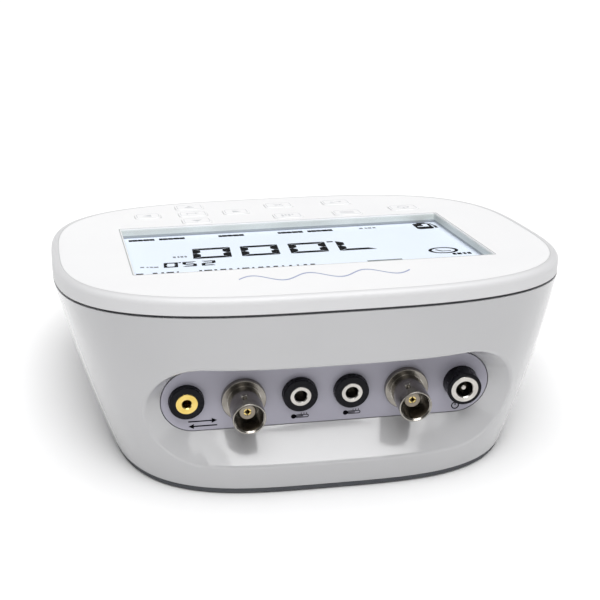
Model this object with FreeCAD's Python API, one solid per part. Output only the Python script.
"""Bench-top water quality meter: tapered white housing, sloping display deck with a membrane
keypad, and a rear pocket that holds the probe, temperature, serial and power sockets.

Frame: origin on the bench under the middle of the housing, +Z up, +Y to the rear sockets,
-Y to the user, +X to the user's right. All sizes are millimetres.
"""
import FreeCAD
import Part

import math
import os

from FreeCAD import Placement, Rotation, Vector

# ---- driving dimensions ------------------------------------------------------------------
WIDTH = 155.0                # across the deck
DEPTH = 150.0                # front to rear, in plan
REAR_HEIGHT = 67.0           # deck height at the rear edge
DECK_TILT = 11.0             # degrees, falling towards the user
DECK_POWER = 3.15            # superellipse power of the deck outline
BASE_HALF_X = 63.1
BASE_HALF_Y = 66.8
BASE_POWER = 3.48
BASE_SHIFT_Y = 1.0           # the base sits a little to the rear
WALL_BULGE = 1.8             # how far the side walls bow out at mid height

BAND = 5.1                   # height of the top cover's side band
GROOVE = 0.8                 # shadow gap between cover and body
COVER_PLATE = 3.0            # the cover's thickness under the deck plane
COVER_RIM = 5.0              # the cover's side band, seen from above
RIB_INSET = 3.6              # the locating rib stands this far inside the outline
RIB_DEPTH = 3.0
RIB_GAP = 0.1                # between the rib and the gasket around it
GASKET_INSET = 0.9
EDGE_ROUND = 1.6             # roundness of the deck's edge
WALL = 2.5                   # body wall
FOOT_GAP = 0.6               # the feet lift the base plate this far
BASE_PLATE = 1.6
BASE_INSET = 0.5
BODY_FLOOR = 2.5

OVERLAY_INSET = 2.4
OVERLAY = 0.4
WINDOW_X, WINDOW_Y = 108.4, 69.8
WINDOW_MID_Y = 4.5           # along the slope, from the deck's middle
WINDOW_CORNER = 0.6
LENS_LAP = 3.0               # hidden lap of the display window under the overlay
LENS = 1.0
LCD_DEPTH = 3.3              # the glass lies this far under the deck plane
LCD_X, LCD_Y, LCD_THICK = 113.0, 75.0, 2.2
LIGHT_Y = 66.0
FRAME_WALL = 1.5
STRIP_WIDE, STRIP_LONG, STRIP_GAP = 2.0, 108.0, 0.4
BOARD_DEPTH = 8.7            # top of the display board under the deck plane
BOARD_INSET = 9.0
BOARD = 1.6
BOARD_END_Y = 47.0           # the display board's straight rear edge
POST_CLEAR = 0.5             # free space round the case screws' bosses
HOLE_GAP = 0.1               # clearance of holes that screws, pins and sockets pass through
FIT = 0.02                   # clearance of parts that are pressed, threaded or glued together
LOOSE = 0.2                  # clearance of parts that are dropped in

KEY_TRAVEL = 0.3
KEY_PROUD = 0.25
KEY_GAP = 0.15
KEY_CORNER = 2.0
KEY_FLOOR = 0.2              # left under a pressed key
KEY_ROUND = 0.2
STEM_R, STEM_GAP = 2.4, 0.1
DOME_R, DOME_HIGH, DOME_SHEET = 2.5, 0.4, 0.12

PANEL_Y = 60.4               # outer face of the socket panel
PANEL_X, PANEL_Z = 0.9, 29.0
PANEL_HALF_X, PANEL_R = 48.5, 9.8
PANEL_THICK = 3.0
PANEL_LIP = 1.5              # thickness of the pocket's floor around the panel
PANEL_FLANGE = 2.5           # lap of the panel behind that floor
PANEL_GAP = 0.3
MOUTH_HALF_X, MOUTH_R, MOUTH_Z = 54.5, 17.0, 27.4
MOUTH_ROUND = 1.2
POCKET_REACH = 20.0          # the pocket's cutting shape runs this far, past the rear surface
POCKET_WALL = 4.5            # solid left round the pocket at the panel
LIP_WALL_X, LIP_WALL_Z = 9.0, 5.5    # and at its mouth
SOCKET_Z = 29.1

SOCKET_MID_X = 1.4           # middle of the row of sockets
TEMP_STEP, BNC_STEP, END_STEP = 7.6, 24.1, 40.7
BNC_Z = 28.7
SHELL_R, SHELL_BORE = 4.83, 4.07
SHELL_OUT = 12.7             # mouth of the coaxial shell, ahead of the panel
SHELL_TAIL = 10.5            # thread behind the panel's face
MOUTH_BEVEL = 0.4
THREAD_R = 4.6
LUG_R, LUG_REACH, LUG_BACK = 0.95, 5.5, 5.0
FLANGE_R, FLANGE = 6.5, 1.8
CORE_R, CORE_BACK = 2.3, 4.2
CONTACT_R, CONTACT_BORE, PIN_R = 1.1, 0.7, 0.6
CONTACT_DEPTH, CONTACT_BACK, PIN_TAIL = 6.0, 0.2, 0.6
CONTACT_SLOT = (0.3, 3.5)    # width and depth of the cross slots in the contact
SHELL_DEPTH, CORE_TAIL = 8.0, 10.0    # depth of the shell's wide bore, length of the core's tail
NUT_FLATS, NUT = 12.7, 2.4
SOCKET_BOARD_Y = 46.0        # rear face of the upright socket board
SOCKET_BOARD_X = 45.4
SOCKET_BOARD_Z = (9.0, 38.0)

# coaxial sockets: x and how far the bayonet lugs are turned from upright, in degrees
COAXIAL = [(SOCKET_MID_X - BNC_STEP, 18.0), (SOCKET_MID_X + BNC_STEP, 10.0)]
# round sockets: x, nose radius, nose reach, ring radius, ring reach, bore radius, half width
ROUND_SOCKETS = {
    "serial_socket": (SOCKET_MID_X + END_STEP, 5.1, 2.0, 3.2, 2.2, 1.3, 3.7),
    "temp_socket_1": (SOCKET_MID_X - TEMP_STEP, 5.1, 2.2, 3.1, 2.4, 1.8, 6.0),
    "temp_socket_2": (SOCKET_MID_X + TEMP_STEP, 5.1, 2.2, 3.1, 2.4, 1.8, 6.0),
    "power_socket": (SOCKET_MID_X - END_STEP, 5.1, 5.2, 4.1, 5.3, 2.5, 4.6),
}
RING_BEVEL = 0.25            # lead-in of the round sockets' bores
NOSE_BACK = 7.4              # the round nose ends this far behind the panel's face
SOCKET_BORE = 11.0           # depth of the sleeves' seats from the panel's face
SOCKET_FLOOR = 1.0           # closed end of a sleeve
BLOCK_HIGH = 11.0            # each round socket's block on the socket board
POWER_PIN_R, POWER_PIN_BACK, POWER_ROOT_R = 0.85, 1.2, 1.3

POSTS = [(50.0, 48.5, 46.0), (35.7, -48.5, 28.0)]    # x, y and height of the screw posts
POST_R, POST_BORE = 4.0, 1.5
HEAD_BORE, HEAD_R, HEAD, HEAD_SEAT = 2.9, 2.7, 1.8, 3.0
BOSS_R, SCREW_R, SCREW_BITE, PILOT = 3.1, 1.25, 8.0, 10.0
RECESS = (3.2, 0.8, 1.0)     # length, width and depth of the slots in a case screw's head
FEET = [(41.0, 37.0), (46.0, -38.0)]
FOOT_R, FOOT_SEAT, FOOT_STEM, FOOT_BARB, FOOT_TIP, BARB_HIGH = 6.0, 0.8, 2.0, 2.6, 1.4, 2.4
# board screws in the deck's own frame
BOARD_SCREWS = [(-62.0, 28.0), (62.0, 28.0), (-62.0, -18.0), (62.0, -18.0),
                (-54.0, -42.0), (54.0, -42.0), (-14.5, -49.0)]
BOARD_BOSS_R, BOARD_SCREW_R, BOARD_HEAD_R, BOARD_HEAD = 2.2, 1.0, 2.0, 1.2
BOARD_SLOT = (3.0, 0.6, 0.6)    # length, width and depth of the slot in a screw's head

# parts under the display board, in the deck's own frame
CHIPS = [(0.0, -16.0, 12.0, 11), (-24.0, -24.0, 7.0, 6)]    # x, y, side, leads on each side
CHIP_HIGH, CHIP_LIFT, CHIP_PITCH = 1.4, 0.2, 0.9
LEAD_WIDE, LEAD_REACH, LEAD_SHEET = 0.4, 1.0, 0.3
BUZZER_X, BUZZER_Y, BUZZER_R, BUZZER_HIGH, BUZZER_PORT = 36.0, 6.0, 6.0, 4.5, 1.0
CELL_X, CELL_Y, CELL_R, CELL_HIGH = -36.0, 6.0, 10.0, 3.2
HOLDER_WALL, HOLDER_HIGH, HOLDER_ROOF = 1.3, 4.4, 1.0
NOTCH_WIDE, NOTCH_LONG, NOTCH_DEEP = 8.0, 6.0, 3.4
UPPER_HEADER = (20.0, 5.0, 3.0)
UPPER_HEADER_Y = 12.5

# parts on the socket board
CAN = (34.0, 6.0, 17.0)
CAN_Z, CAN_SHEET, CAN_ROUND = 18.0, 0.4, 0.8
AMPLIFIER = (8.0, 1.6, 5.0)
AMPLIFIER_Z, AMPLIFIER_LEADS, AMPLIFIER_PITCH = 24.0, 4, 2.1
LOWER_HEADER = (20.0, 3.0, 5.0)
LOWER_HEADER_Z = 9.5
RIBBON_WIDE, RIBBON_SHEET, RIBBON_BEND = 16.0, 0.4, 12.0
RIBBON_Y, RIBBON_Z, RIBBON_TOP = 14.8, 12.0, 41.5    # drop, run and upper end of the ribbon

# key name: x, distance along the slope from the deck's middle, width, length
KEYS = {
    "key_power": (-46.0, -42.6, 10.0, 9.0),
    "key_mode": (-25.0, -38.8, 10.0, 9.0),
    "key_calibrate": (-25.0, -59.4, 10.0, 9.0),
    "key_data": (-4.0, -38.8, 10.0, 9.0),
    "key_escape": (-4.0, -59.4, 10.0, 9.0),
    "key_left": (12.5, -51.0, 9.0, 9.0),
    "key_enter": (27.7, -51.0, 10.0, 9.0),
    "key_right": (43.5, -51.0, 9.0, 9.0),
    "key_up": (27.7, -38.0, 10.0, 9.0),
    "key_down": (27.7, -64.0, 10.0, 9.0),
}

TILT_TAN = math.tan(math.radians(DECK_TILT))
TILT_COS = math.cos(math.radians(DECK_TILT))
MID_HEIGHT = REAR_HEIGHT - DEPTH / 2 * TILT_TAN
DECK = Placement(Vector(0, 0, MID_HEIGHT), Rotation(Vector(1, 0, 0), DECK_TILT))
OVERLAY_UPRIGHT = OVERLAY / TILT_COS
BODY_TOP = BAND + GROOVE
PLATE_Z = FOOT_GAP
BODY_Z = PLATE_Z + BASE_PLATE
ABOVE = REAR_HEIGHT + 5                    # clear of the whole meter
UNDER_BOARD = -BOARD_DEPTH - BOARD         # underside of the display board, in the deck's frame
BOARD_FACE = SOCKET_BOARD_Y - BOARD        # inner face of the socket board
SOCKET_BACK = PANEL_Y - SOCKET_BORE


# ---- shapes shared by several parts --------------------------------------------------------
def deck_height(y):
    return MID_HEIGHT + y * TILT_TAN


def superellipse(half_x, half_y, power, mid_y=0.0, count=36):
    points = []
    for i in range(count):
        turn = 2 * math.pi * i / count
        c, s = math.cos(turn), math.sin(turn)
        reach = (abs(c / half_x) ** power + abs(s / half_y) ** power) ** (-1 / power)
        points.append((reach * c, mid_y + reach * s))
    return points


def closed_curve(points, knots=None):
    """Smooth closed wire. Outlines that are lofted together share the same knots."""
    curve = Part.BSplineCurve()
    if knots is None:
        knots = [float(i) for i in range(len(points) + 1)]
    curve.interpolate(Points=points, PeriodicFlag=True, Parameters=knots)
    return Part.Wire([curve.toShape()])


def plan_prism(inset, low, high):
    """Upright prism of the deck outline, drawn in by inset, between two heights."""
    return Part.Face(deck_outline(inset, low)).extrude(Vector(0, 0, high - low))


def deck_outline(inset, z):
    outline = superellipse(WIDTH / 2 - inset, DEPTH / 2 - inset, DECK_POWER)
    return closed_curve([Vector(x, y, z) for x, y in outline])


def deck_slab(top, bottom):
    """Everything between two planes parallel to the deck, given as upright distances under it."""
    size = 2 * WIDTH
    thick = (bottom - top) * TILT_COS
    slab = Part.makeBox(size, size, thick, Vector(-size / 2, -size / 2, -thick))
    tilted = Placement(Vector(0, 0, MID_HEIGHT - top), Rotation(Vector(1, 0, 0), DECK_TILT))
    slab.Placement = tilted
    return slab


def ring(inset_out, inset_in, top, bottom):
    """Band that follows the deck outline, between two planes parallel to the deck."""
    outlines = [deck_outline(inset_out, 0), deck_outline(inset_in, 0)]
    face = Part.makeFace(outlines, "Part::FaceMakerBullseye")
    return face.extrude(Vector(0, 0, ABOVE)).common(deck_slab(top, bottom))


def body_section(share, wall):
    """Outline of the body at a share of its height: 0 at the rim, 1 at the base."""
    bow = WALL_BULGE * 4 * share * (1 - share)
    half_x = WIDTH / 2 * (1 - share) + BASE_HALF_X * share + bow / 2 - wall
    half_y = DEPTH / 2 * (1 - share) + BASE_HALF_Y * share + bow - wall
    power = DECK_POWER * (1 - share) + BASE_POWER * share
    points = superellipse(half_x, half_y, power, BASE_SHIFT_Y * share)
    return [Vector(x, y, body_height(y, share)) for x, y in points]


def body_height(y, share):
    return (deck_height(y) - BODY_TOP) * (1 - share) + BODY_Z * share


def body_loft(wall):
    shares = [i / 4 for i in range(5)]
    return Part.makeLoft([closed_curve(body_section(s, wall)) for s in shares], True)


def outside_body(x, y, z):
    """Below zero inside the body's outer surface, above zero outside it."""
    share = (deck_height(y) - BODY_TOP - z) / (deck_height(y) - BODY_TOP - BODY_Z)
    bow = WALL_BULGE * 4 * share * (1 - share)
    half_x = WIDTH / 2 * (1 - share) + BASE_HALF_X * share + bow / 2
    half_y = DEPTH / 2 * (1 - share) + BASE_HALF_Y * share + bow
    power = DECK_POWER * (1 - share) + BASE_POWER * share
    mid_y = BASE_SHIFT_Y * share
    return (abs(x) / half_x) ** power + (abs(y - mid_y) / half_y) ** power - 1


def rear_surface_y(x, z):
    """Where the body's rear surface lies at a given x and height."""
    low, high = 30.0, 90.0
    while high - low > 1e-4:
        middle = (low + high) / 2
        if outside_body(x, middle, z) < 0:
            low = middle
        else:
            high = middle
    return low


def cylinder_y(radius, x, z, y_from, y_to):
    length = y_to - y_from
    direction = Vector(0, math.copysign(1, length), 0)
    return Part.makeCylinder(radius, abs(length), Vector(x, y_from, z), direction)


def cylinder_z(radius, x, y, z_from, z_to):
    return Part.makeCylinder(radius, z_to - z_from, Vector(x, y, z_from))


def stadium_prism(half_x, radius, mid_z, y_from, y_to):
    """Prism with rounded ends, running along Y."""
    flat = half_x - radius
    low = Vector(PANEL_X - flat, y_from, mid_z - radius)
    block = Part.makeBox(2 * flat, y_to - y_from, 2 * radius, low)
    ends = [cylinder_y(radius, PANEL_X + side, mid_z, y_from, y_to) for side in mirrored(flat)]
    return block.fuse(ends).removeSplitter()


def plate(half_x, half_y, mid_x, mid_y, top, thick, corner):
    """Flat plate in the deck's own frame, with rounded corners; top is its upper face."""
    low = Vector(mid_x - half_x, mid_y - half_y, top - thick)
    block = Part.makeBox(2 * half_x, 2 * half_y, thick, low)
    if corner <= 0:
        return block
    upright = [e for e in block.Edges if abs(e.tangentAt(e.FirstParameter).z) > 0.9]
    return block.makeFillet(corner, upright)


def on_deck(shape):
    """Moves a shape from the deck's own frame to the meter's frame."""
    moved = shape.copy()
    moved.Placement = DECK.multiply(shape.Placement)
    return moved


def mirrored(x):
    return (-x, x)


def hexagon(across_flats, y_from, y_to, x, z):
    radius = across_flats / math.sqrt(3)
    corners = []
    for i in range(7):
        turn = math.radians(60 * i)
        corners.append(Vector(x + radius * math.cos(turn), y_from, z + radius * math.sin(turn)))
    return Part.Face(Part.makePolygon(corners)).extrude(Vector(0, y_to - y_from, 0))


def round_lower_rim(shape, radius):
    """Rounds the edges in the lowest level plane of a shape."""
    low = shape.BoundBox.ZMin
    return shape.makeFillet(radius, [e for e in shape.Edges if e.BoundBox.ZMax < low + 0.01])


# ---- housing -------------------------------------------------------------------------------
def lens_plate(lap, top, thick):
    corner = WINDOW_CORNER + lap / 2
    return plate(WINDOW_X / 2 + lap, WINDOW_Y / 2 + lap, 0, WINDOW_MID_Y, top, thick, corner)


def overlay_blank(grow, top, bottom):
    return plan_prism(OVERLAY_INSET - grow, 0, ABOVE).common(deck_slab(top, bottom))


def key_blank(name, grow, top, bottom):
    x, y, width, length = KEYS[name]
    corner = KEY_CORNER + grow
    return plate(width / 2 + grow, length / 2 + grow, x, y, top, top - bottom, corner)


def top_cover():
    shell = plan_prism(0, 0, ABOVE).common(deck_slab(0, BAND))
    shell = shell.makeFillet(EDGE_ROUND, [e for e in shell.Edges if on_deck_rim(e)])
    hollow = plan_prism(COVER_RIM, 0, ABOVE).common(deck_slab(COVER_PLATE, BAND + 1))
    rib = ring(RIB_INSET, COVER_RIM, COVER_PLATE, BAND + RIB_DEPTH)
    shell = shell.cut(hollow).fuse(rib)
    bosses = []
    cuts = [overlay_blank(LOOSE / 2, -1.0, OVERLAY_UPRIGHT)]
    cuts.append(on_deck(lens_plate(LENS_LAP + LOOSE / 2, 0, OVERLAY + LENS)))
    cuts.append(on_deck(lens_plate(0, 0, COVER_PLATE + 2)))
    for name, (x, y, width, length) in KEYS.items():
        pocket_floor = -OVERLAY - KEY_TRAVEL - KEY_FLOOR
        cuts.append(on_deck(key_blank(name, KEY_GAP, 0, pocket_floor)))
        cuts.append(on_deck(cylinder_z(STEM_R + STEM_GAP, x, y, -COVER_PLATE - 2, 0)))
    for x, y in BOARD_SCREWS:
        bosses.append(on_deck(cylinder_z(BOARD_BOSS_R, x, y, -BOARD_DEPTH + FIT, -COVER_PLATE + 0.5)))
        cuts.append(on_deck(cylinder_z(BOARD_SCREW_R + FIT, x, y, -BOARD_DEPTH - 1, -COVER_PLATE - 0.5)))
    for x, y, high in POSTS:
        for side in mirrored(x):
            bosses.append(cylinder_z(BOSS_R, side, y, high + FIT, deck_height(y) - COVER_PLATE + 1))
            cuts.append(cylinder_z(SCREW_R + FIT, side, y, high - 1, high + PILOT))
    return shell.fuse(bosses).cut(cuts).removeSplitter()


def on_deck_rim(edge):
    middle = edge.valueAt((edge.FirstParameter + edge.LastParameter) / 2)
    return abs(middle.z - deck_height(middle.y)) < 0.01


def stadium_rulings():
    """Matching places round any rounded-end outline: side of the straight run, share of it,
    and the direction from the end's centre."""
    straight, bend = 20, 14
    found = []
    for side in (1, -1):
        for i in range(bend):
            turn = math.pi * (i / bend - 0.5)
            found.append((side, side * math.cos(turn), side * math.sin(turn)))
        for i in range(straight):
            found.append((side * (1 - 2 * i / straight), 0.0, side))
    return found


def ruling_knots():
    """Distance run along the pocket's mid-depth outline at each of the matching places."""
    flat, radius = PANEL_HALF_X - PANEL_R, (PANEL_R + MOUTH_R) / 2
    places = [Vector(share * flat + radius * c, radius * s, 0) for share, c, s in stadium_rulings()]
    knots = [0.0]
    for here, ahead in zip(places, places[1:] + places[:1]):
        knots.append(knots[-1] + (ahead - here).Length)
    return knots


def stadium_wire(half_x, radius, mid_z, y):
    flat = half_x - radius
    outline = [(share * flat + radius * c, mid_z + radius * s) for share, c, s in stadium_rulings()]
    return closed_curve([Vector(x, y, z) for x, z in outline], ruling_knots())


def pocket_void():
    """Flared pocket: straight rulings from the panel's outline out to the mouth on the rear
    surface, carried on to a plane well outside the body. The panel's opening goes with it."""
    far_y = PANEL_Y + POCKET_REACH
    flat_in, flat_out = PANEL_HALF_X - PANEL_R, MOUTH_HALF_X - MOUTH_R
    radius = PANEL_R + PANEL_GAP
    inner, outer = [], []
    for share, c, s in stadium_rulings():
        start = Vector(PANEL_X + share * flat_in + radius * c, PANEL_Y, PANEL_Z + radius * s)
        mouth_x = share * flat_out + MOUTH_R * c
        mouth_z = MOUTH_Z + MOUTH_R * s
        mouth = Vector(mouth_x, rear_surface_y(mouth_x, mouth_z), mouth_z)
        reach = (far_y - start.y) / (mouth.y - start.y)
        inner.append(start)
        outer.append(start + (mouth - start) * reach)
    inner_wire = closed_curve(inner, ruling_knots())
    opening = Part.Face(inner_wire).extrude(Vector(0, -2 * PANEL_THICK, 0))
    return ruled_solid(inner_wire, closed_curve(outer, ruling_knots())).fuse(opening)


def ruled_solid(inner, outer):
    """Solid between two flat closed wires, its side made of straight rulings."""
    side = Part.makeRuledSurface(inner.Edges[0], outer.Edges[0])
    faces = side.Faces + [Part.Face(inner), Part.Face(outer)]
    shell = Part.makeShell(faces)
    shell.sewShape()
    solid = Part.makeSolid(shell)
    if solid.Volume < 0:
        solid.reverse()
    return solid


def round_mouth(shell):
    """Rounds the pocket's lip, the one long edge where the flare meets the rear surface."""
    lips = []
    for edge in shell.Edges:
        middle = edge.valueAt((edge.FirstParameter + edge.LastParameter) / 2)
        spans = edge.BoundBox
        if spans.YMin > PANEL_Y + 0.3 and spans.XLength > MOUTH_HALF_X and middle.z < REAR_HEIGHT:
            lips.append(edge)
    return shell.makeFillet(MOUTH_ROUND, lips)


def main_body():
    shell = round_mouth(body_loft(0).cut(pocket_void()))
    backing = ruled_solid(
        stadium_wire(
            PANEL_HALF_X + POCKET_WALL, PANEL_R + POCKET_WALL, PANEL_Z, PANEL_Y - PANEL_LIP
        ),
        stadium_wire(MOUTH_HALF_X + LIP_WALL_X, MOUTH_R + LIP_WALL_Z, MOUTH_Z, DEPTH / 2 + 5),
    )
    size = 2 * WIDTH
    above_floor = Part.makeBox(size, size, size, Vector(-WIDTH, -WIDTH, BODY_Z + BODY_FLOOR))
    shell = shell.cut(body_loft(WALL).common(above_floor).cut(backing))
    posts, cuts = [], []
    for x, y, high in POSTS:
        for side in mirrored(x):
            posts.append(cylinder_z(POST_R, side, y, BODY_Z + 0.5, high))
            cuts.append(cylinder_z(HEAD_BORE, side, y, 0, high - HEAD_SEAT))
            cuts.append(cylinder_z(POST_BORE, side, y, 0, high + 1))
    for x, y in FEET:
        for side in mirrored(x):
            cuts.append(cylinder_z(FOOT_STEM + FIT, side, y, 0, BODY_Z + BODY_FLOOR + 1))
    return shell.fuse(posts).cut(cuts).removeSplitter()


def seal_gasket():
    return ring(GASKET_INSET, RIB_INSET - RIB_GAP, BAND + FIT, BODY_TOP - FIT)


def base_plate():
    outline = superellipse(
        BASE_HALF_X - BASE_INSET, BASE_HALF_Y - BASE_INSET, BASE_POWER, BASE_SHIFT_Y
    )
    wire = closed_curve([Vector(x, y, PLATE_Z) for x, y in outline])
    shell = Part.Face(wire).extrude(Vector(0, 0, BASE_PLATE))
    cuts = []
    for x, y, _ in POSTS:
        cuts += [cylinder_z(HEAD_BORE, side, y, 0, BODY_Z + 1) for side in mirrored(x)]
    for x, y in FEET:
        for side in mirrored(x):
            cuts.append(cylinder_z(FOOT_R + FIT, side, y, 0, PLATE_Z + FOOT_SEAT))
            cuts.append(cylinder_z(FOOT_STEM + FIT, side, y, 0, BODY_Z + 1))
    return shell.cut(cuts)


def rubber_feet():
    feet = []
    for x, y in FEET:
        for side in mirrored(x):
            pad = cylinder_z(FOOT_R, side, y, 0, PLATE_Z + FOOT_SEAT)
            pad = round_lower_rim(pad, 0.3)
            inside = BODY_Z + BODY_FLOOR
            stem = cylinder_z(FOOT_STEM, side, y, PLATE_Z, inside)
            barb = Part.makeCone(FOOT_BARB, FOOT_TIP, BARB_HIGH, Vector(side, y, inside))
            feet.append(pad.fuse([stem, barb]))
    return Part.makeCompound(feet)


def cross_recess(x, y, face_z):
    """Crossed slots cut up into a screw head whose lower face is at face_z."""
    long, wide, deep = RECESS
    along_x = Part.makeBox(long, wide, 2 * deep, Vector(x - long / 2, y - wide / 2, face_z - deep))
    along_y = Part.makeBox(wide, long, 2 * deep, Vector(x - wide / 2, y - long / 2, face_z - deep))
    return [along_x, along_y]


def case_screws():
    screws = []
    for x, y, high in POSTS:
        for side in mirrored(x):
            seat = high - HEAD_SEAT
            head = cylinder_z(HEAD_R, side, y, seat - HEAD, seat)
            shank = cylinder_z(SCREW_R, side, y, seat, high + SCREW_BITE)
            screws.append(head.fuse(shank).cut(cross_recess(side, y, seat - HEAD)))
    return Part.makeCompound(screws)


# ---- display stack and keypad ----------------------------------------------------------------
def front_overlay():
    sheet = overlay_blank(0, 0, OVERLAY_UPRIGHT)
    cuts = [on_deck(lens_plate(0, 1, OVERLAY + 2))]
    cuts += [on_deck(key_blank(name, KEY_GAP, 1, -OVERLAY - 1)) for name in KEYS]
    return sheet.cut(cuts)


def display_window():
    return on_deck(lens_plate(LENS_LAP, -OVERLAY - FIT, LENS - FIT))


def lcd_glass():
    return on_deck(plate(LCD_X / 2, LCD_Y / 2, 0, WINDOW_MID_Y, -LCD_DEPTH, LCD_THICK, 0))


def lcd_frame():
    half_x, half_y = LCD_X / 2 + LOOSE, LCD_Y / 2 + LOOSE
    top = -COVER_PLATE
    high = BOARD_DEPTH - COVER_PLATE
    outer = plate(half_x + FRAME_WALL, half_y + FRAME_WALL, 0, WINDOW_MID_Y, top, high, 1.5)
    inner = plate(half_x, half_y, 0, WINDOW_MID_Y, top + 1, high + 2, 0)
    return on_deck(outer.cut(inner))


def backlight_guide():
    top = -LCD_DEPTH - LCD_THICK
    return on_deck(plate(LCD_X / 2, LIGHT_Y / 2, 0, WINDOW_MID_Y, top, BOARD_DEPTH + top, 0))


def zebra_strips():
    top = -LCD_DEPTH - LCD_THICK
    strips = []
    for side in (-1, 1):
        middle = WINDOW_MID_Y + side * (LIGHT_Y / 2 + STRIP_GAP + STRIP_WIDE / 2)
        strips.append(plate(STRIP_LONG / 2, STRIP_WIDE / 2, 0, middle, top, BOARD_DEPTH + top, 0))
    return on_deck(Part.makeCompound(strips))


def display_board():
    slab = deck_slab(BOARD_DEPTH / TILT_COS, (BOARD_DEPTH + BOARD) / TILT_COS)
    board = plan_prism(BOARD_INSET, 0, ABOVE).common(slab)
    front_part = Part.makeBox(WIDTH, DEPTH, ABOVE, Vector(-WIDTH / 2, BOARD_END_Y - DEPTH, 0))
    board = board.common(front_part)
    cuts = []
    for x, y, _ in POSTS:
        cuts += [cylinder_z(BOSS_R + POST_CLEAR, side, y, 0, ABOVE) for side in mirrored(x)]
    for x, y in BOARD_SCREWS:
        hole = cylinder_z(BOARD_SCREW_R + HOLE_GAP, x, y, UNDER_BOARD - 1, -BOARD_DEPTH + 1)
        cuts.append(on_deck(hole))
    return board.cut(cuts)


def board_screws():
    screws = []
    for x, y in BOARD_SCREWS:
        base = UNDER_BOARD - BOARD_HEAD
        head = cylinder_z(BOARD_HEAD_R, x, y, base, UNDER_BOARD)
        shank = cylinder_z(BOARD_SCREW_R, x, y, UNDER_BOARD, -COVER_PLATE - 1)
        long, wide, deep = BOARD_SLOT
        slot = Part.makeBox(long, wide, 2 * deep, Vector(x - long / 2, y - wide / 2, base - deep))
        screws.append(head.fuse(shank).cut(slot))
    return on_deck(Part.makeCompound(screws))


def key(name):
    x, y, _, _ = KEYS[name]
    pad = key_blank(name, 0, KEY_PROUD, -OVERLAY)
    pad = pad.makeFillet(KEY_ROUND, [e for e in pad.Edges if e.BoundBox.ZMin > KEY_PROUD - 0.01])
    stem = cylinder_z(STEM_R, x, y, -BOARD_DEPTH + DOME_HIGH + FIT, -OVERLAY)
    return on_deck(pad.fuse(stem).removeSplitter())


def key_domes():
    """Snap discs on the display board, one under each key's stem."""
    outside = (DOME_R ** 2 + DOME_HIGH ** 2) / (2 * DOME_HIGH)
    domes = []
    for x, y, _, _ in KEYS.values():
        middle = Vector(x, y, -BOARD_DEPTH + DOME_HIGH - outside)
        sheet = Part.makeSphere(outside, middle).cut(Part.makeSphere(outside - DOME_SHEET, middle))
        domes.append(sheet.common(cylinder_z(DOME_R, x, y, -BOARD_DEPTH, -BOARD_DEPTH + 1)))
    return on_deck(Part.makeCompound(domes))


def display_chips():
    chips = []
    for x, y, side, count in CHIPS:
        body = plate(side / 2, side / 2, x, y, UNDER_BOARD - CHIP_LIFT, CHIP_HIGH, 0)
        reach = side / 2 + LEAD_REACH
        leads = []
        for i in range(count):
            along = (i - (count - 1) / 2) * CHIP_PITCH
            leads.append(plate(LEAD_WIDE / 2, reach, x + along, y, UNDER_BOARD, LEAD_SHEET, 0))
            leads.append(plate(reach, LEAD_WIDE / 2, x, y + along, UNDER_BOARD, LEAD_SHEET, 0))
        chips.append(body.fuse(leads))
    return on_deck(Part.makeCompound(chips))


def buzzer():
    base = UNDER_BOARD - BUZZER_HIGH
    case = round_lower_rim(cylinder_z(BUZZER_R, BUZZER_X, BUZZER_Y, base, UNDER_BOARD), 0.5)
    port = cylinder_z(BUZZER_PORT, BUZZER_X, BUZZER_Y, base - 1, base + 1.5)
    return on_deck(case.cut(port))


def cell_holder():
    inside = CELL_R + HOLE_GAP
    base = UNDER_BOARD - HOLDER_HIGH
    case = cylinder_z(inside + HOLDER_WALL, CELL_X, CELL_Y, base, UNDER_BOARD)
    pocket = cylinder_z(inside, CELL_X, CELL_Y, base - 1, UNDER_BOARD - HOLDER_ROOF)
    corner = Vector(CELL_X - NOTCH_WIDE / 2, CELL_Y + CELL_R - NOTCH_LONG / 2, base - 1)
    notch = Part.makeBox(NOTCH_WIDE, NOTCH_LONG, NOTCH_DEEP + 1, corner)
    return on_deck(case.cut([pocket, notch]))


def coin_cell():
    top = UNDER_BOARD - HOLDER_ROOF - FIT
    return on_deck(round_lower_rim(cylinder_z(CELL_R, CELL_X, CELL_Y, top - CELL_HIGH, top), 0.4))


# ---- socket panel and sockets ------------------------------------------------------------------
def connector_panel():
    back = PANEL_Y - PANEL_THICK
    face = stadium_prism(PANEL_HALF_X, PANEL_R, PANEL_Z, back, PANEL_Y)
    flange = stadium_prism(
        PANEL_HALF_X + PANEL_FLANGE, PANEL_R + PANEL_FLANGE, PANEL_Z, back, PANEL_Y - PANEL_LIP - FIT
    )
    shell = face.fuse(flange)
    cuts = [cylinder_y(THREAD_R + HOLE_GAP, x, BNC_Z, back - 1, PANEL_Y + 1) for x, _ in COAXIAL]
    for x, nose_r, *_ in ROUND_SOCKETS.values():
        cuts.append(cylinder_y(nose_r + HOLE_GAP, x, SOCKET_Z, back - 1, PANEL_Y + 1))
    return shell.cut(cuts).removeSplitter()


def round_rim(shape, radius, y):
    """Rounds the circular edges that lie in the plane of the given y."""
    rims = [e for e in shape.Edges if abs(e.BoundBox.YMin - y) < 1e-3 and e.BoundBox.YLength < 1e-3]
    return shape.makeFillet(radius, rims)


def bevelled_bore(radius, bevel, x, z, y_from, y_to):
    """Cutting tool for a bore that opens out by a 45 degree bevel at its mouth."""
    mouth = Vector(x, y_to - bevel, z)
    lead_in = Part.makeCone(radius, radius + 2 * bevel, 2 * bevel, mouth, Vector(0, 1, 0))
    return cylinder_y(radius, x, z, y_from, y_to + 1).fuse(lead_in)


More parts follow.
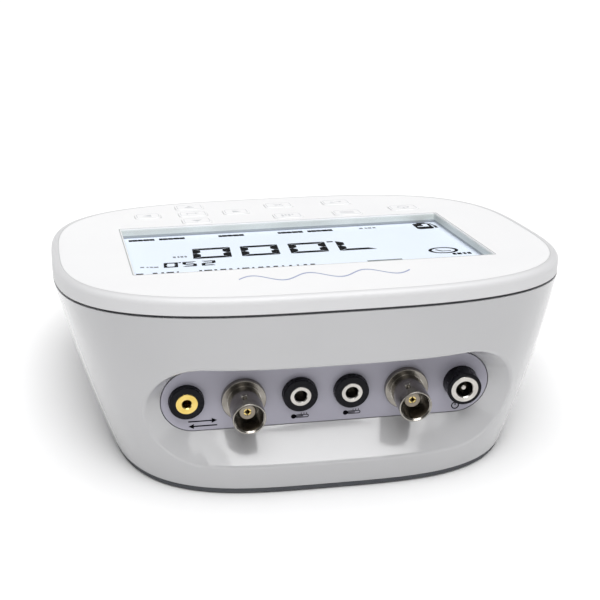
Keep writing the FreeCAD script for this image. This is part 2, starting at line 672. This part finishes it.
def bnc_shell(x, turn):
    mouth = PANEL_Y + SHELL_OUT
    barrel = cylinder_y(SHELL_R, x, BNC_Z, PANEL_Y + FLANGE, mouth)
    barrel = round_rim(barrel, 0.2, mouth)
    barrel = barrel.cut(bevelled_bore(SHELL_BORE, MOUTH_BEVEL, x, BNC_Z, mouth - SHELL_DEPTH, mouth))
    flange = cylinder_y(FLANGE_R, x, BNC_Z, PANEL_Y, PANEL_Y + FLANGE)
    flange = round_rim(flange, 0.3, PANEL_Y + FLANGE)
    thread = cylinder_y(THREAD_R, x, BNC_Z, PANEL_Y - SHELL_TAIL, PANEL_Y)
    lugs = []
    for side in (-1, 1):
        out = side * Vector(math.sin(math.radians(turn)), 0, math.cos(math.radians(turn)))
        root = Vector(x, mouth - LUG_BACK, BNC_Z) + out * (SHELL_BORE + 0.3)
        lugs.append(Part.makeCylinder(LUG_R, LUG_REACH - SHELL_BORE - 0.3, root, out))
    shell = barrel.fuse([flange, thread] + lugs)
    core = cylinder_y(CORE_R + FIT, x, BNC_Z, PANEL_Y - SHELL_TAIL - 1, mouth - SHELL_DEPTH + 1)
    return shell.cut(core)


def bnc_insulator(x):
    front = PANEL_Y + SHELL_OUT - CORE_BACK
    core = cylinder_y(CORE_R, x, BNC_Z, PANEL_Y - CORE_TAIL, front)
    core = round_rim(core, 0.2, front)
    sleeve = cylinder_y(CONTACT_R + FIT, x, BNC_Z, PANEL_Y, front + 1)
    return core.cut([sleeve, cylinder_y(PIN_R + FIT, x, BNC_Z, SOCKET_BOARD_Y, PANEL_Y + 1)])


def bnc_contact(x):
    front = PANEL_Y + SHELL_OUT - CORE_BACK - CONTACT_BACK
    sleeve = cylinder_y(CONTACT_R, x, BNC_Z, PANEL_Y, front)
    pin = cylinder_y(PIN_R, x, BNC_Z, BOARD_FACE - PIN_TAIL, PANEL_Y)
    wide, deep = CONTACT_SLOT
    across = 2 * CONTACT_R + 1
    upright = Part.makeBox(wide, deep + 1, across, Vector(x - wide / 2, front - deep, BNC_Z - across / 2))
    level = Part.makeBox(across, deep + 1, wide, Vector(x - across / 2, front - deep, BNC_Z - wide / 2))
    bore = cylinder_y(CONTACT_BORE, x, BNC_Z, front - CONTACT_DEPTH, front + 1)
    return sleeve.fuse(pin).cut([bore, upright, level])


def bnc_nut(x):
    back = PANEL_Y - PANEL_THICK
    nut = hexagon(NUT_FLATS, back - NUT, back - FIT, x, BNC_Z)
    return nut.cut(cylinder_y(THREAD_R + FIT, x, BNC_Z, back - NUT - 1, back + 1))


def socket_housing(name):
    x, nose_r, nose_out, ring_r, _, _, half_width = ROUND_SOCKETS[name]
    front = PANEL_Y + nose_out
    shoulder = PANEL_Y - NOSE_BACK
    nose = cylinder_y(nose_r, x, SOCKET_Z, shoulder, front)
    nose = round_rim(nose, 0.3, front)
    corner = Vector(x - half_width, SOCKET_BOARD_Y, SOCKET_Z - BLOCK_HIGH / 2)
    block = Part.makeBox(2 * half_width, shoulder - SOCKET_BOARD_Y, BLOCK_HIGH, corner)
    seat = cylinder_y(ring_r + FIT, x, SOCKET_Z, SOCKET_BACK, front + 1)
    return nose.fuse(block).cut(seat)


def socket_sleeve(name):
    x, _, _, ring_r, ring_out, bore_r, _ = ROUND_SOCKETS[name]
    front = PANEL_Y + ring_out
    sleeve = cylinder_y(ring_r, x, SOCKET_Z, SOCKET_BACK + FIT, front)
    sleeve = round_rim(sleeve, 0.2, front)
    base = SOCKET_BACK + SOCKET_FLOOR
    sleeve = sleeve.cut(bevelled_bore(bore_r, RING_BEVEL, x, SOCKET_Z, base, front))
    if name == "power_socket":
        sleeve = sleeve.cut(cylinder_y(POWER_ROOT_R + FIT, x, SOCKET_Z, SOCKET_BACK - 1, PANEL_Y))
    return sleeve


def power_pin():
    x, _, _, _, ring_out, _, _ = ROUND_SOCKETS["power_socket"]
    tip = PANEL_Y + ring_out - POWER_PIN_BACK
    pin = round_rim(cylinder_y(POWER_PIN_R, x, SOCKET_Z, SOCKET_BACK + FIT, tip), 0.4, tip)
    root = cylinder_y(POWER_ROOT_R, x, SOCKET_Z, SOCKET_BACK + FIT, SOCKET_BACK + SOCKET_FLOOR)
    return pin.fuse(root)


def socket_board():
    low, high = SOCKET_BOARD_Z
    corner = Vector(-SOCKET_BOARD_X, BOARD_FACE, low)
    board = Part.makeBox(2 * SOCKET_BOARD_X, BOARD, high - low, corner)
    holes = []
    for x, _ in COAXIAL:
        holes.append(cylinder_y(PIN_R + HOLE_GAP, x, BNC_Z, BOARD_FACE - 1, SOCKET_BOARD_Y + 1))
    return board.cut(holes)


def shield_can():
    wide, deep, high = CAN
    low = Vector(-wide / 2, BOARD_FACE - deep, CAN_Z)
    can = Part.makeBox(wide, deep, high, low)
    can = can.makeFillet(CAN_ROUND, [e for e in can.Edges if e.BoundBox.YMax < low.y + 0.1])
    sheet = Vector(CAN_SHEET, CAN_SHEET, CAN_SHEET)
    return can.cut(Part.makeBox(wide - 2 * CAN_SHEET, deep, high - 2 * CAN_SHEET, low + sheet))


def amplifier_chip():
    wide, deep, high = AMPLIFIER
    body = Part.makeBox(
        wide, deep, high, Vector(-wide / 2, BOARD_FACE - CHIP_LIFT - deep, AMPLIFIER_Z)
    )
    leads = []
    for i in range(AMPLIFIER_LEADS):
        x = (i - (AMPLIFIER_LEADS - 1) / 2) * AMPLIFIER_PITCH - LEAD_WIDE / 2
        corner = Vector(x, BOARD_FACE - LEAD_SHEET, AMPLIFIER_Z - LEAD_REACH)
        leads.append(Part.makeBox(LEAD_WIDE, LEAD_SHEET, high + 2 * LEAD_REACH, corner))
    return body.fuse(leads)


def ribbon_headers():
    wide, long, high = UPPER_HEADER
    upper = on_deck(plate(wide / 2, long / 2, 0, UPPER_HEADER_Y, UNDER_BOARD, high, 0.4))
    wide, deep, high = LOWER_HEADER
    lower = Part.makeBox(wide, deep, high, Vector(-wide / 2, BOARD_FACE - deep, LOWER_HEADER_Z))
    return Part.makeCompound([upper, lower])


def ribbon_cable():
    """Flat flexible cable from the display board down and back to the socket board."""
    end = BOARD_FACE - LOWER_HEADER[1]
    middle = Vector(0, RIBBON_Y + RIBBON_BEND, RIBBON_Z + RIBBON_BEND)
    turn = RIBBON_BEND * math.sqrt(0.5)
    top_of_bend = Vector(0, RIBBON_Y, middle.z)
    foot_of_bend = Vector(0, middle.y, RIBBON_Z)
    down = Part.makeLine(Vector(0, RIBBON_Y, RIBBON_TOP), top_of_bend)
    bend = Part.Arc(top_of_bend, middle + Vector(0, -turn, -turn), foot_of_bend).toShape()
    along = Part.makeLine(foot_of_bend, Vector(0, end, RIBBON_Z))
    half_x, half_y = RIBBON_WIDE / 2, RIBBON_SHEET / 2
    strip = [(-half_x, -half_y), (half_x, -half_y), (half_x, half_y), (-half_x, half_y)]
    strip.append(strip[0])
    section = Part.makePolygon([Vector(x, RIBBON_Y + y, RIBBON_TOP) for x, y in strip])
    return Part.Wire([down, bend, along]).makePipeShell([section], True, True)


# ---- all parts ---------------------------------------------------------------------------------
PARTS = {
    "top_cover": top_cover,
    "main_body": main_body,
    "seal_gasket": seal_gasket,
    "base_plate": base_plate,
    "rubber_feet": rubber_feet,
    "case_screws": case_screws,
    "front_overlay": front_overlay,
    "display_window": display_window,
    "lcd_glass": lcd_glass,
    "lcd_frame": lcd_frame,
    "backlight_guide": backlight_guide,
    "zebra_strips": zebra_strips,
    "display_board": display_board,
    "board_screws": board_screws,
    "key_domes": key_domes,
    "display_chips": display_chips,
    "buzzer": buzzer,
    "cell_holder": cell_holder,
    "coin_cell": coin_cell,
    "connector_panel": connector_panel,
    "power_socket_pin": power_pin,
    "socket_board": socket_board,
    "shield_can": shield_can,
    "amplifier_chip": amplifier_chip,
    "ribbon_headers": ribbon_headers,
    "ribbon_cable": ribbon_cable,
}


def all_parts():
    built = {name: make() for name, make in PARTS.items()}
    built.update({name: key(name) for name in KEYS})
    for name in ROUND_SOCKETS:
        built[name + "_housing"] = socket_housing(name)
        built[name + "_sleeve"] = socket_sleeve(name)
    for number, (x, turn) in enumerate(COAXIAL, start=1):
        built[f"bnc_shell_{number}"] = bnc_shell(x, turn)
        built[f"bnc_insulator_{number}"] = bnc_insulator(x)
        built[f"bnc_contact_{number}"] = bnc_contact(x)
        built[f"bnc_nut_{number}"] = bnc_nut(x)
    return built


def main():
    os.makedirs("parts", exist_ok=True)
    for name, shape in all_parts().items():
        shape.exportStep(f"parts/{name}.step")


if __name__ == "__main__":
    main()
